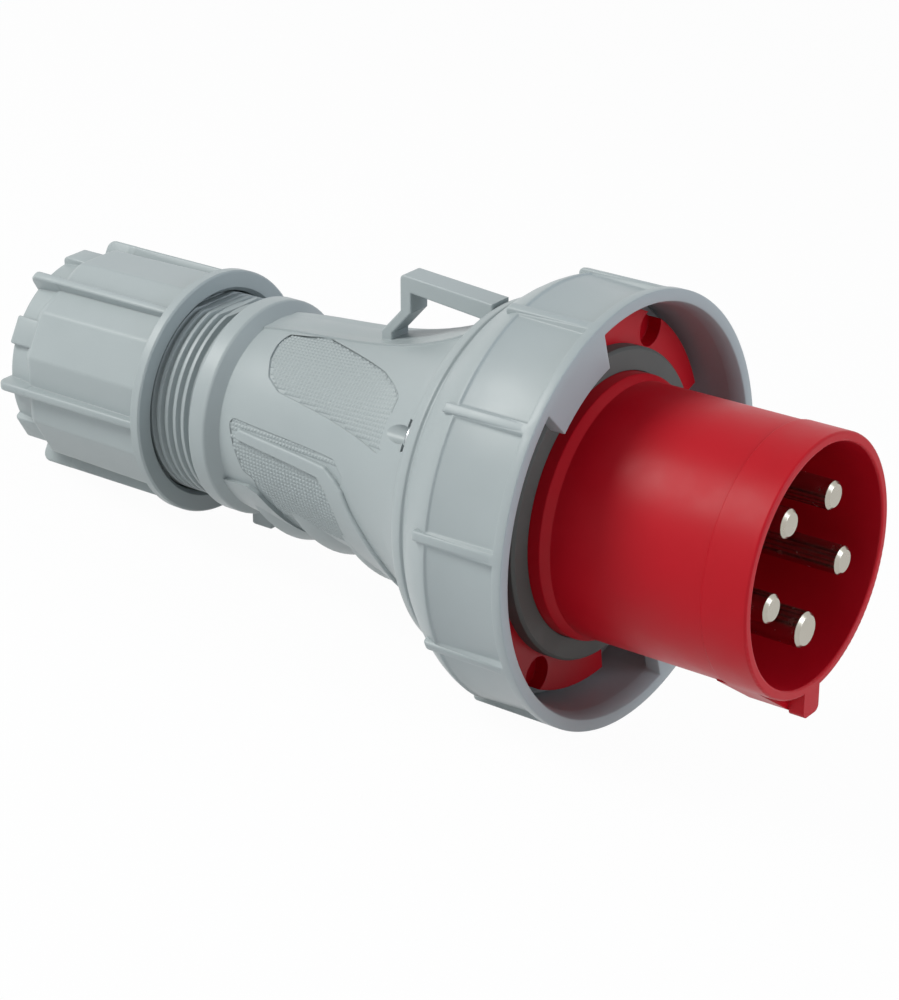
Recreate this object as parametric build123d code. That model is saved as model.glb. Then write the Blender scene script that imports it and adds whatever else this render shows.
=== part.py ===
from build123d import *
import os
from math import acos, atan2, cos, radians, sin, sqrt, tan

# Industrial pin and sleeve plug, 5 poles, 63 A, watertight, with a bayonet ring. All sizes in mm.
# The plug's axis is X and the pins point to +X.
# The origin is the centre of the shroud's open rim. Stations along X are counted back from that rim.
# Angles about X run from +Y towards +Z, so 90 is the loop's side and 270 the key's.
# The finished plug is rolled about X until it lies on two ribs of its ring.

# Solids that are fused or cut run this far past each other
overlap = 1.0

# Pins
pin_circle_radius = 19.0
phase_pin_diameter = 8.0
earth_pin_diameter = 10.0
pin_setback = 2.4
pin_tip_round = 0.9
pin_root_step = 0.2
pin_root_rise = 0.4
pin_hole_gap = 0.03
pin_count = 5
earth_angle = 270.0
pin_collar_diameter = 15.0
pin_collar_length = 4.0
barrel_diameter = 15.0
barrel_length = 29.0
wire_bore_diameter = 9.8
wire_bore_depth = 24.0
saddle_thickness = 1.2
saddle_length = 18.0
saddle_offset = 3.4
clamp_screw_diameter = 6.0
clamp_screw_hex = 3.0
clamp_screw_thread_gap = 0.05
clamp_screw_spacing = 9.0
clamp_screw_from_end = 7.0
clamp_screw_chamfer = 0.6
clamp_screw_socket_depth = 2.0
saddle_side_gap = 0.15

# Contact carrier: shroud, hub and flange in one moulding
shroud_diameter = 72.0
shroud_wall = 2.8
shroud_band_length = 13.2
shroud_band_step = 0.4
shroud_depth = 54.0
base_thickness = 12.0
hub_radius = 37.1
hub_front_station = 59.5
hub_slope_length = 2.5
flange_station = 70.0
flange_thickness = 5.5
flange_inset = 9.6
lobe_inset = 2.8
lobe_half_angle = 38.0
lobe_angle = 58.5
pocket_radius = 5.2
pocket_inset = 6.6
pocket_depth = 4.0
skirt_length = 9.0
skirt_wall = 3.0
skirt_step = 0.6
key_width = 7.8
key_nose_height = 7.0
key_flank_height = 5.4
key_length = 16.5
key_nose_length = 4.5
key_ramp_length = 7.0
key_round = 1.8
shroud_rim_round = 0.7
flange_round = 0.8
key_flat_end = 0.8

# Terminal block behind the carrier
block_radius = 32.6
block_plate_thickness = 5.0
tower_wall = 2.3
block_screw_diameter = 5.0
block_screw_head_diameter = 9.0
block_screw_head_height = 3.4
block_screw_grip = 8.0
block_screw_post_radius = 10.0
block_screw_post_setback = 6.0
tower_rise = 1.5
barrel_gap = 0.1
screw_hole_gap = 0.2
screw_head_gap = 0.3
clamp_screw_hole_gap = 0.5

# Seals at the front
gasket_inner_gap = 0.15
gasket_width = 6.45
gasket_thickness = 4.5
ring_seal_section = 2.4
ring_seal_squeeze = 0.3
ring_seal_side_gap = 0.15
gasket_lip = 0.8
ring_seal_station = 79.4

# Rear housing
front_plate_thickness = 4.5
flange_guide_length = 4.6
flange_back_station = 92.8
flange_back_inset = 5.7
neck_inset = 9.5
neck_end_station = 101.0
housing_wall = 3.0
core_groove_inset = 3.4
core_groove_width = 4.0
core_groove_depth = 9.0
flare_stations = (106.0, 113.0, 120.0, 130.0, 150.0)
flare_radii = (42.9, 39.5, 36.8, 34.0, 31.2)
body_rear_station = 179.0
body_rear_radius = 28.4
collar_front_station = 182.0
collar_back_station = 188.0
collar_radius = 32.0
collar_round = 1.2
collar_lug_front_station = 180.5
collar_lug_back_station = 187.6
collar_lug_reach = 5.2
collar_lug_half_width = 5.0
deck_half_width = 7.5
deck_rise = 0.5
loop_width = 7.8
loop_leg_thickness = 3.8
loop_rear_station = 132.8
loop_rear_height = 52.7
loop_front_height = 50.6
loop_bar_thickness = 5.0
loop_foot_height = 42.0
loop_foot_station = 139.5
loop_round = 1.4
loop_leg_slope = 1.1
loop_hidden_depth = 12.0
loop_front_leg_thickness = 4.4
deck_sink = 0.15
loop_edge_round = 0.5
grip_recess = 0.5
grip_corner_round = 2.0
grip_outline = ((170, 28.2), (168.5, 24), (165.5, 20.3), (160, 17.9), (140.4, 16.2), (116.5, 13.8),
                (115, 15.7), (115.5, 27.8), (121.6, 29.0), (127, 29.6), (155, 29.9))
grip_strip_recess = 0.3
grip_strip_outline = ((175.6, 8), (134, 6.8), (129.6, 2), (131, 0), (135, -2), (150, -2), (170, -6),
                      (173.6, 1.4))
finger_bar_height = 1.1
finger_bar_round = 0.8
finger_bar_outline = ((173.2, 6.0), (137, 4.1), (132.6, 1.6), (129.5, -1), (126.9, -5.7), (122.9, -11.5),
                      (118, -19), (112, -30), (107, -44), (164, -44), (164.8, -8.8), (171, 2))
finger_floor_height = -0.1
finger_floor_outline = ((175.0, 3.2), (139.4, 0.4), (136.4, -3), (133.6, -9), (132.0, -16), (127, -30),
                        (122, -46), (161, -46), (165.6, -14), (166.5, -8.8), (170.2, -7.1), (173.8, 1.4))
finger_tilt = 28.0
# Bands under the body: station, sink, radius, reach and fall at the back, reach and fall in front
finger_bands = ((166.5, 9.5, 25.6, 8.0, 0.6, 6.5, 0.9), (151.5, 9.0, 27.2, 7.5, 1.2, 6.5, 0.3),
                (129.0, 9.0, 30.4, 10.0, 2.4, 12.0, 2.4))
finger_heel_height = 1.3
finger_heel_outline = ((185, -13.4), (169, -11.6), (165.5, -13.2), (162, -18.5), (158.5, -25), (154, -34),
                       (150, -46), (185, -46))
boss_radius = 4.2
boss_inset = 5.2
boss_pocket_wall = 1.4
boss_pocket_front_station = 98.0
boss_angle = 58.5
carrier_screw_count = 4
carrier_screw_diameter = 5.0
carrier_screw_head_diameter = 8.6
carrier_screw_head_height = 2.8
carrier_screw_seat_station = 102.4
carrier_screw_tool_radius = 2.6
carrier_screw_pilot = 4.0
carrier_screw_bite = 3.0
carrier_screw_pocket_depth = 14.0
screw_tip_length = 1.2
screw_tip_chamfer = 0.8
screw_cross_width = 1.1
screw_pocket_gap = 0.5

# Thread spigot and gland
spigot_end_station = 226.0
spigot_bore_radius = 24.5
thread_pitch = 3.0
thread_root_radius = 28.4
thread_crest_radius = 29.8
thread_turns = 9
thread_flat_rise = 0.1
thread_foot_half_width = 1.2
thread_top_half_width = 0.55
nut_front_station = 202.5
nut_collar_radius = 36.5
nut_collar_length = 3.6
nut_bore_radius = 30.3
nut_mouth_radius = 31.0
nut_bore_end_station = 240.0
nut_shoulder_station = 254.5
nut_end_station = 262.0
nut_end_radius = 27.6
nut_hole_radius = 19.5
nut_end_wall = 5.6
nut_flat_radius = 32.4
nut_taper = 0.8
nut_corner_half_angle = 12.2
nut_corner_angle = 30.8
nut_corner_round = 1.5
nut_rib_radius = 35.8
nut_rib_width = 3.0
nut_side_count = 6
nut_lug_width = 6.4
nut_lug_radius = 30.4
nut_lug_depth = 5.5
nut_lug_count = 12
nut_notch_depth = 2.1
nut_notch_inner_radius = 23.1
nut_edge_round = 0.8
nut_mouth_chamfer = 0.5
nut_mouth_length = 1.5
nut_rib_sink = 4.0
cage_sleeve_gap = 0.3
cage_collar_station = 238.6
cage_collar_radius = 26.4
cage_collar_length = 2.4
cage_finger_count = 10
cage_finger_gap = 3.0
cage_inner_radius = 20.2
cage_inner_taper = 1.2
cage_cone_step = 2.2
cage_cone_angle = 26.0
cage_front_gap = 4.0
cage_end_gap = 0.3
cage_nut_gap = 0.35
seal_length = 22.0
seal_hole_radius = 12.5
seal_lead_in = 2.0
seal_outer_chamfer = 1.5

# Locking ring with its two bayonet lugs
ring_front_station = 57.0
ring_rim_radius = 61.2
ring_rim_length = 3.4
ring_mouth_wall = 3.4
ring_mouth_length = 4.0
ring_wall = 4.8
ring_bore_gap = 0.4
ring_panel_sink = 2.7
ring_panel_end_station = 82.0
ring_back_station = 101.0
ring_back_drop = 12.4
ring_step_station = 95.6
ring_step_drop = 11.0
ring_step_height = 2.0
ring_rib_count = 11
ring_rib_phase = 172.8
ring_rib_height = 3.3
ring_rib_width = 3.0
ring_rib_foot = 4.4
ring_rib_round = 0.7
ring_rib_sink = 0.8
ring_edge_round = 0.6
ring_bulge = 0.9
ring_shoulder_round = 4.0
lug_reach = 10.4
lug_angle = 120.2
lug_half_angle = 14.3
lug_thickness = 4.6

os.makedirs("parts", exist_ok=True)


def turned(*points):
    """A closed outline of (station, radius) points, revolved about the plug's axis.

    A third number on a point rounds that corner of the outline."""
    outline = make_face(Polyline(*[(-point[0], point[1]) for point in points], close=True))
    for station, radius, rounding in [point for point in points if len(point) == 3]:
        corner = outline.vertices().sort_by_distance((-station, radius, 0))[0]
        outline = fillet(corner, rounding)
    return revolve(outline, Axis.X)


def tube(front, back, outer, inner=0.0):
    """A tube on the plug's axis between two stations."""
    return turned((front, outer), (back, outer), (back, inner), (front, inner))


def rod(front, back, radius, circle_radius=0.0, angle=0.0):
    """A round rod parallel to the axis, at an angle on a circle."""
    along = Rot(Y=-90) * Cylinder(radius, back - front, align=(Align.CENTER, Align.CENTER, Align.MIN))
    return Rot(X=angle) * Pos(-front, circle_radius, 0) * along


def sector(front, back, inner, outer, middle, half_angle):
    """A piece of a tube that covers an angle on either side of its middle."""
    wedge = make_face(Polyline(
        (0, 0),
        (2 * outer * cos(radians(half_angle)), -2 * outer * sin(radians(half_angle))),
        (2 * outer * cos(radians(half_angle)), 2 * outer * sin(radians(half_angle))),
        close=True))
    slice_ = Pos(-back, 0, 0) * extrude(Plane.YZ * wedge, back - front)
    return tube(front, back, outer, inner) & (Rot(X=middle) * slice_)


# Values that follow from the sizes above
rib_pitch = 360 / ring_rib_count
shroud_radius = shroud_diameter / 2
shroud_bore = shroud_radius - shroud_wall
base_back_station = shroud_depth + base_thickness
flange_back_face = flange_station + flange_thickness
skirt_radius = hub_radius - skirt_step
skirt_end_station = flange_back_face + skirt_length
gasket_front_station = flange_station - gasket_thickness
pin_angles = [earth_angle + 360 / pin_count * k for k in range(pin_count)]
boss_angles = [boss_angle + 360 / carrier_screw_count * k for k in range(carrier_screw_count)]
barrel_end_station = base_back_station + barrel_length
block_post_station = barrel_end_station - block_screw_post_setback
ring_panel_radius = ring_rim_radius - ring_panel_sink
ring_rib_radius = ring_panel_radius + ring_rib_height
ring_mouth_radius = ring_rim_radius - ring_mouth_wall
ring_bore_radius = ring_rim_radius - ring_wall
ring_step_radius = ring_rim_radius - ring_step_drop
ring_back_radius = ring_rim_radius - ring_back_drop
lug_inner_radius = ring_mouth_radius - lug_reach
flange_guide_radius = ring_bore_radius - ring_bore_gap
flange_back_radius = flange_guide_radius - flange_back_inset
lobe_radius = flange_guide_radius - lobe_inset
flange_radius = flange_guide_radius - flange_inset
pocket_circle_radius = flange_guide_radius - pocket_inset
neck_radius = flange_guide_radius - neck_inset
boss_circle_radius = neck_radius - boss_inset
core_groove_outer = flange_guide_radius - core_groove_inset
gasket_inner_radius = hub_radius + gasket_inner_gap
gasket_outer_radius = gasket_inner_radius + gasket_width
rest_roll = 270 - (ring_rib_phase + 2.5 * rib_pitch)
ring_hole_radius = neck_radius + ring_bore_gap
ring_shoulder_station = flange_back_station + ring_bore_gap
flare_guide = [(neck_end_station, neck_radius)] + list(zip(flare_stations, flare_radii))
flare_guide.append((body_rear_station, body_rear_radius))
cage_front_station = spigot_end_station + cage_front_gap


def contact_carrier():
    """The red moulding: shroud, base that holds the pins, hub, flange with two lobes, key."""
    sleeve_radius = shroud_radius - shroud_band_step
    band = turned((0, shroud_radius, shroud_rim_round), (shroud_band_length, shroud_radius),
                  (shroud_band_length, shroud_bore), (0, shroud_bore, shroud_rim_round))
    sleeve = tube(shroud_band_length, hub_front_station, sleeve_radius, shroud_bore)
    hub = turned(
        (hub_front_station, sleeve_radius),
        (hub_front_station + hub_slope_length, hub_radius, shroud_rim_round),
        (base_back_station, hub_radius), (base_back_station, 0), (shroud_depth, 0),
        (shroud_depth, shroud_bore), (hub_front_station, shroud_bore))
    rear_tube = tube(base_back_station, flange_back_face, hub_radius, skirt_radius - skirt_wall)
    flange = turned((flange_station, flange_radius, flange_round), (flange_back_face, flange_radius),
                    (flange_back_face, skirt_radius - skirt_wall), (flange_station, skirt_radius - skirt_wall))
    skirt = tube(flange_back_face, skirt_end_station, skirt_radius, skirt_radius - skirt_wall)
    body = band + sleeve + hub + rear_tube + flange + skirt
    for angle in (lobe_angle, lobe_angle + 180):
        body += sector(flange_station, flange_back_face, flange_radius - overlap, lobe_radius, angle,
                       lobe_half_angle)
        body -= rod(flange_station - overlap, flange_station + pocket_depth, pocket_radius,
                    pocket_circle_radius, angle)
    body -= ring_seal_groove()
    body += shroud_key()
    for angle in pin_angles:
        root = pin_diameter(angle) / 2 + pin_root_step + pin_hole_gap
        body -= rod(shroud_depth - overlap, base_back_station + overlap, root, pin_circle_radius, angle)
        body -= rod(base_back_station - pin_collar_length, base_back_station + overlap,
                    pin_collar_diameter / 2 + pin_hole_gap, pin_circle_radius, angle)
    for angle in boss_angles:
        body -= rod(flange_back_face - carrier_screw_pilot, flange_back_face + overlap,
                    carrier_screw_diameter / 2, boss_circle_radius, angle)
    body -= rod(base_back_station - block_screw_grip, base_back_station + overlap, block_screw_diameter / 2)
    return body


def shroud_key():
    """The raised key under the rim: a nose, then flanks that run tangent into the shroud."""
    half = key_width / 2
    root = -shroud_bore - overlap
    nose_low = -shroud_radius - key_nose_height
    nose = Polyline((-half, nose_low), (half, nose_low), (half, root), (-half, root), close=True)
    nose = fillet(make_face(nose).vertices().group_by(Axis.Y)[0], key_round)
    nose = extrude(Plane.YZ * nose, -key_nose_length)
    low = -shroud_radius - key_flank_height
    touch = atan2(half, -low) + acos(shroud_radius / sqrt(half ** 2 + low ** 2))
    flank_y = shroud_radius * sin(touch)
    flank_z = -shroud_radius * cos(touch)
    flanks = make_face(Polyline((-half, low), (half, low), (flank_y, flank_z), (0, root / 2),
                                (-flank_y, flank_z), close=True))
    flanks = Plane.YZ * fillet(flanks.vertices().group_by(Axis.Y)[0], key_round / 2)
    sunk = (shroud_radius - key_flat_end) / -low
    ramp_end = Pos(-key_length - key_ramp_length, 0, 0) * scale(flanks, by=sunk)
    key = nose + Pos(-key_nose_length, 0, 0) * extrude(flanks, key_nose_length - key_length)
    key += loft([Pos(-key_length, 0, 0) * flanks, ramp_end])
    return key - tube(-overlap, key_length + key_ramp_length + overlap, shroud_bore + overlap / 2)


def ring_seal_groove():
    """The groove for the seal round the skirt."""
    half = ring_seal_section / 2
    return tube(ring_seal_station - half, ring_seal_station + half, skirt_radius + overlap, skirt_radius - half)


def pin_diameter(angle):
    return earth_pin_diameter if angle % 360 == earth_angle else phase_pin_diameter


def pin(angle):
    """A turned contact pin with its collar and its wire barrel, threaded for two clamp screws."""
    radius = pin_diameter(angle) / 2
    collar_front = base_back_station - pin_collar_length
    root_front = shroud_depth - pin_root_rise
    root = radius + pin_root_step
    body = turned(
        (pin_setback, 0), (pin_setback, radius - pin_tip_round), (pin_setback + pin_tip_round, radius),
        (root_front, radius), (root_front, root), (collar_front, root), (collar_front, pin_collar_diameter / 2),
        (base_back_station, pin_collar_diameter / 2), (barrel_end_station, barrel_diameter / 2),
        (barrel_end_station, 0))
    body -= rod(barrel_end_station - wire_bore_depth, barrel_end_station + overlap, wire_bore_diameter / 2)
    for station in clamp_screw_stations():
        body -= clamp_hole(station, clamp_screw_diameter / 2 + clamp_screw_thread_gap)
    return Rot(X=angle) * Pos(0, pin_circle_radius, 0) * body


def clamp_screw_stations():
    last = barrel_end_station - clamp_screw_from_end
    return (last, last - clamp_screw_spacing)


def clamp_hole(station, radius):
    """A radial hole through the outer wall of a barrel that lies on the axis."""
    drill = Cylinder(radius, 2 * barrel_diameter, align=(Align.CENTER, Align.CENTER, Align.MIN))
    return Pos(-station, 0, 0) * Rot(X=-90) * drill


def wire_saddle(angle):
    """The loose pressure plate between the clamp screws and the wire."""
    middle = barrel_end_station - clamp_screw_from_end - clamp_screw_spacing / 2
    half_width = sqrt((wire_bore_diameter / 2) ** 2 - saddle_offset ** 2) - saddle_side_gap
    plate = Box(saddle_length, saddle_thickness, 2 * half_width, align=(Align.CENTER, Align.MAX, Align.CENTER))
    return Rot(X=angle) * Pos(-middle, pin_circle_radius + saddle_offset, 0) * plate


def clamp_screw(angle, station):
    """A socket set screw whose tip bears on the saddle."""
    reach = barrel_diameter / 2 - saddle_offset
    body = Cylinder(clamp_screw_diameter / 2, reach, align=(Align.CENTER, Align.CENTER, Align.MIN))
    body = chamfer(body.edges().sort_by(Axis.Z)[0], clamp_screw_chamfer)
    hexagon = RegularPolygon(clamp_screw_hex / 2, 6, major_radius=False)
    socket = Pos(0, 0, reach - clamp_screw_socket_depth) * extrude(hexagon, clamp_screw_socket_depth + overlap)
    upright = Rot(X=-90) * (body - socket)
    return Rot(X=angle) * Pos(-station, pin_circle_radius + saddle_offset, 0) * upright


def terminal_screws():
    return [clamp_screw(angle, station) for angle in pin_angles for station in clamp_screw_stations()]


def terminal_block():
    """The rear insulator: a plate with five towers round the barrels and a screw post."""
    body = tube(base_back_station, base_back_station + block_plate_thickness, block_radius)
    body += rod(base_back_station, block_post_station, block_screw_post_radius)
    tower_end = barrel_end_station + tower_rise
    tower_bore = barrel_diameter / 2 + barrel_gap
    screw_hole = clamp_screw_diameter / 2 + clamp_screw_hole_gap
    for angle in pin_angles:
        body += rod(base_back_station, tower_end, tower_bore + tower_wall, pin_circle_radius, angle)
    for angle in pin_angles:
        body -= rod(base_back_station - overlap, tower_end + overlap, tower_bore, pin_circle_radius, angle)
        for station in clamp_screw_stations():
            body -= Rot(X=angle) * Pos(0, pin_circle_radius, 0) * clamp_hole(station, screw_hole)
    body -= rod(base_back_station - overlap, barrel_end_station, block_screw_diameter / 2 + screw_hole_gap)
    body -= rod(block_post_station - block_screw_head_height, barrel_end_station,
                block_screw_head_diameter / 2 + screw_head_gap)
    return body


def pan_screw(seat, tip, radius, head_radius, head_height):
    """A pan head screw along the axis: seat of its head, tip, with a cross recess."""
    end = seat + head_height
    shoulder = head_height / 2
    body = turned((tip, 0), (tip, radius - screw_tip_chamfer), (tip + screw_tip_length, radius), (seat, radius),
                  (seat, head_radius), (end - shoulder, head_radius), (end, head_radius - shoulder), (end, 0))
    for turn in (0, 90):
        slot = Box(shoulder, head_radius, screw_cross_width, align=(Align.MIN, Align.CENTER, Align.CENTER))
        body -= Pos(-end, 0, 0) * Rot(X=turn) * slot
    return body


def block_screw():
    seat = block_post_station - block_screw_head_height
    return pan_screw(seat, base_back_station - block_screw_grip + screw_head_gap, block_screw_diameter / 2,
                     block_screw_head_diameter / 2, block_screw_head_height)


def face_gasket():
    """The dark rubber ring that seals against the mating socket."""
    inner = gasket_inner_radius
    return turned(
        (flange_station, inner), (flange_station, gasket_outer_radius),
        (gasket_front_station + gasket_lip, gasket_outer_radius),
        (gasket_front_station, gasket_outer_radius - gasket_lip), (gasket_front_station, inner))


def housing_seal():
    """The ring seal between the carrier's skirt and the housing."""
    half = ring_seal_section / 2 - ring_seal_side_gap
    inner = skirt_radius - ring_seal_section / 2
    return turned(
        (ring_seal_station - half, inner), (ring_seal_station - half, skirt_radius),
        (ring_seal_station, skirt_radius + ring_seal_squeeze), (ring_seal_station + half, skirt_radius),
        (ring_seal_station + half, inner))


def flare_face(offset, front, back_station, back_radius):
    """Half section under the housing's flared body, set in by an offset, down to the axis."""
    points = [(-station, radius - offset) for station, radius in flare_guide]
    curve = Spline(*points)
    rest = Polyline(points[-1], (-back_station, back_radius), (-back_station, 0), (-front, 0),
                    (-front, points[0][1]), points[0])
    return make_face([curve, rest])


def flare_layer(low, high):
    """The layer of the flared body between two heights over its surface, its seam on top."""
    outer = revolve(flare_face(-high, flange_back_station, collar_front_station, body_rear_radius), Axis.X)
    inner = revolve(flare_face(-low, flange_back_face, collar_back_station, body_rear_radius), Axis.X)
    return Rot(X=90) * (outer - inner)


def side_prism(points, rounding):
    """A prism across the body, from an outline of (station, height) points seen from the side."""
    outline = make_face(Polyline(*[(-station, height) for station, height in points], close=True))
    outline = offset(offset(outline, -rounding), rounding)
    return extrude(Plane.XZ * outline, 2 * neck_radius, both=True)


def raised_pad(outline, height, rounding):
    """A raised field of the body with rounded edges, from an outline seen from the side."""
    pad = flare_layer(-overlap, height) & side_prism(outline, grip_corner_round)
    outer = max(pad.faces(), key=lambda face: face.area)
    return fillet(outer.edges(), rounding)


def finger_band(station, sink, radius, back, back_fall, front, front_fall):
    """A swelling under the body: a turned form below the axis, tilted so that its lower side runs forward."""
    start, end = (-back, radius - back_fall), (front, radius - front_fall)
    closing = Polyline(end, (front, 0), (-back, 0), start)
    ring = revolve(make_face([ThreePointArc(start, (0, radius), end), closing]), Axis.X)
    return Pos(-station, 0, -sink) * Rot(Y=-finger_tilt) * ring


def housing_outside():
    """Outer form of the housing without loop, deck and grips."""
    rim = turned(
        (flange_back_face, 0), (flange_back_face, flange_guide_radius, flange_round),
        (flange_back_face + flange_guide_length, flange_guide_radius, flange_round),
        (flange_back_station, flange_back_radius), (flange_back_station, 0))
    barrel = revolve(flare_face(0, flange_back_face, body_rear_station + overlap, body_rear_radius), Axis.X)
    collar = turned(
        (body_rear_station, 0), (body_rear_station, body_rear_radius),
        (collar_front_station, collar_radius, collar_round),
        (collar_back_station, collar_radius, collar_round), (collar_back_station, 0))
    spigot = tube(collar_back_station, spigot_end_station, thread_root_radius)
    return rim + barrel + collar + spigot + collar_lug()


def collar_lug():
    """The small stop under the collar."""
    low = -collar_radius - collar_lug_reach
    length = collar_lug_back_station - collar_lug_front_station
    lug = Box(length, 2 * collar_lug_half_width, collar_lug_reach + collar_round,
              align=(Align.MIN, Align.CENTER, Align.MIN))
    lug = fillet(lug.edges().group_by(Axis.Z)[0], collar_round)
    return Pos(-collar_lug_back_station, 0, low) * lug


def grips(body):
    """Sinks the upper grips, and builds the lower grip's strip, floor, bar, heel and bands."""
    body -= flare_layer(-grip_recess, grip_recess) & side_prism(grip_outline, grip_corner_round)
    body -= flare_layer(-grip_strip_recess, grip_recess) & side_prism(grip_strip_outline, grip_corner_round)
    body += raised_pad(finger_bar_outline, finger_bar_height, finger_bar_round)
    body -= flare_layer(finger_floor_height, 2 * finger_bar_height) & side_prism(finger_floor_outline,
                                                                                 grip_corner_round)
    body += flare_layer(-overlap, finger_heel_height) & side_prism(finger_heel_outline, grip_corner_round)
    for band in finger_bands:
        body += finger_band(*band)
    return body


def housing_inside():
    """The wiring space, the wire passage and the seat of the seals."""
    shoulder = flange_back_face + front_plate_thickness
    room = revolve(flare_face(housing_wall, shoulder, body_rear_station, spigot_bore_radius), Axis.X)
    front_hole = tube(flange_back_face - overlap, shoulder + overlap, skirt_radius + ring_seal_squeeze)
    bore = tube(body_rear_station - overlap, spigot_end_station + overlap, spigot_bore_radius)
    groove = tube(flange_back_face - overlap, flange_back_face + core_groove_depth, core_groove_outer,
                  core_groove_outer - core_groove_width)
    return room + front_hole + bore + groove


def hanging_loop():
    """The strap on top: an upright leg with a sloped foot and a bar that runs forward to the ring."""
    front = neck_end_station + ring_bore_gap
    rear = loop_rear_station
    under_bar = rear - loop_leg_thickness
    foot_run = loop_foot_station - rear
    foot_height = loop_foot_height - foot_run * loop_leg_slope
    hidden = foot_height - loop_hidden_depth
    inner_front = front + loop_front_leg_thickness
    outline = Polyline(
        (-rear - foot_run, hidden), (-rear - foot_run, foot_height), (-rear, loop_foot_height),
        (-rear, loop_rear_height), (-front, loop_front_height), (-front, hidden + overlap),
        (-inner_front, hidden + overlap), (-inner_front, loop_front_height - loop_bar_thickness),
        (-under_bar, loop_rear_height - loop_bar_thickness), (-under_bar, loop_foot_height),
        (-under_bar - foot_run, foot_height), (-under_bar - foot_run, hidden), close=True)
    strap = extrude(Plane.XZ * make_face(outline), loop_width / 2, both=True)
    corners = [e for e in strap.edges().filter_by(Axis.Y)
               if abs(e.center().X + rear) < overlap and e.center().Z > loop_foot_height]
    strap = fillet(corners, loop_round)
    sides = [e for e in strap.faces().sort_by(Axis.Y)[0].edges() + strap.faces().sort_by(Axis.Y)[-1].edges()
             if e.center().Z > hidden + 2 * overlap]
    return fillet(sides, loop_edge_round)


def deck():
    """The flat strip along the top of the body."""
    ridge = [(station, radius + deck_rise) for station, radius in flare_guide[1:]]
    level = [(-station, sqrt(radius ** 2 - deck_half_width ** 2) + deck_sink) for station, radius in ridge]
    sides = Polyline(level[-1], (level[-1][0], spigot_bore_radius), (level[0][0], spigot_bore_radius), level[0])
    return extrude(Plane.XZ * make_face([Spline(*level), sides]), deck_half_width, both=True)


def thread():
    """The outer thread of the spigot, with the mould flat on its top and bottom."""
    length = thread_pitch * thread_turns
    start = collar_back_station + thread_pitch
    path = Helix(pitch=thread_pitch, height=length, radius=thread_root_radius, direction=(-1, 0, 0))
    height = thread_crest_radius - thread_root_radius
    section = Polyline((-height / 4, -thread_foot_half_width), (height, -thread_top_half_width),
                       (height, thread_top_half_width), (-height / 4, thread_foot_half_width), close=True)
    section_plane = Plane(origin=path @ 0, x_dir=(path @ 0).normalized(), z_dir=path % 0)
    ridge = Pos(-start, 0, 0) * sweep(section_plane * make_face(section), path=path, is_frenet=True)
    level = thread_root_radius + thread_flat_rise
    keep = Pos(-start - length / 2, 0, 0) * Box(2 * length, 3 * collar_radius, 2 * level)
    return ridge & keep


def rear_housing():
    """The grey handle shell with its thread spigot, collar, flared body, flange and loop."""
    outside = housing_outside()
    body = grips(outside) + deck() + hanging_loop() + thread()
    body -= housing_inside()
    shoulder = flange_back_face + front_plate_thickness
    seat = carrier_screw_seat_station
    head = carrier_screw_head_diameter / 2 + screw_pocket_gap
    pocket_end = seat + carrier_screw_pocket_depth
    for angle in boss_angles:
        body += rod(shoulder - overlap, seat, boss_radius, boss_circle_radius, angle)
        body += outside & rod(boss_pocket_front_station, pocket_end, head + boss_pocket_wall,
                              boss_circle_radius, angle)
    for angle in boss_angles:
        body -= rod(flange_back_face - overlap, seat + overlap, carrier_screw_diameter / 2 + screw_hole_gap,
                    boss_circle_radius, angle)
        body -= rod(seat, seat + carrier_screw_head_height + overlap, head, boss_circle_radius, angle)
        body -= rod(seat, pocket_end, carrier_screw_tool_radius, boss_circle_radius, angle)
    return body


def carrier_screws():
    tip = flange_back_face - carrier_screw_bite
    one = pan_screw(carrier_screw_seat_station, tip, carrier_screw_diameter / 2,
                    carrier_screw_head_diameter / 2, carrier_screw_head_height)
    return [Rot(X=angle) * Pos(0, boss_circle_radius, 0) * one for angle in boss_angles]


def ring_body():
    """The locking ring's turned form: rim, recessed panels, tapering shoulder and rear lip."""
    panel_start = ring_front_station + ring_rim_length
    shoulder_mid = (ring_panel_end_station + ring_step_station) / 2
    ring_step_high = ring_step_radius + ring_step_height
    return turned(
        (ring_front_station, ring_mouth_radius, ring_edge_round),
        (ring_front_station, ring_rim_radius, ring_edge_round),
        (panel_start, ring_rim_radius, ring_edge_round), (panel_start + ring_edge_round, ring_panel_radius),
        (ring_panel_end_station, ring_panel_radius, ring_shoulder_round),
        (shoulder_mid, (ring_panel_radius + ring_step_high) / 2 + ring_bulge, ring_shoulder_round),
        (ring_step_station - ring_edge_round, ring_step_high, ring_edge_round),
        (ring_step_station, ring_step_radius),
        (ring_back_station, ring_back_radius, ring_edge_round),
        (ring_back_station, ring_hole_radius), (ring_shoulder_station, ring_hole_radius),
        (ring_shoulder_station, flange_back_radius + ring_bore_gap),
        (flange_back_face + flange_guide_length - ring_bore_gap, ring_bore_radius),
        (ring_front_station + ring_mouth_length, ring_bore_radius))


def ring_rib(angle):
    """One grip rib along the ring, wider at its foot."""
    foot = ring_rib_foot / 2
    top = ring_rib_width / 2
    sunk = ring_panel_radius - ring_rib_sink
    outline = Polyline((sunk, -foot), (ring_panel_radius, -foot), (ring_rib_radius, -top),
                       (ring_rib_radius, top), (ring_panel_radius, foot), (sunk, foot), close=True)
    section = make_face(outline)
    section = fillet(section.vertices().group_by(Axis.X)[-1], ring_rib_round)
    back = ring_panel_end_station + overlap
    front = ring_front_station + ring_rim_length / 2
    return Rot(X=angle) * Pos(-back, 0, 0) * extrude(Plane.YZ * section, back - front)


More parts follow.
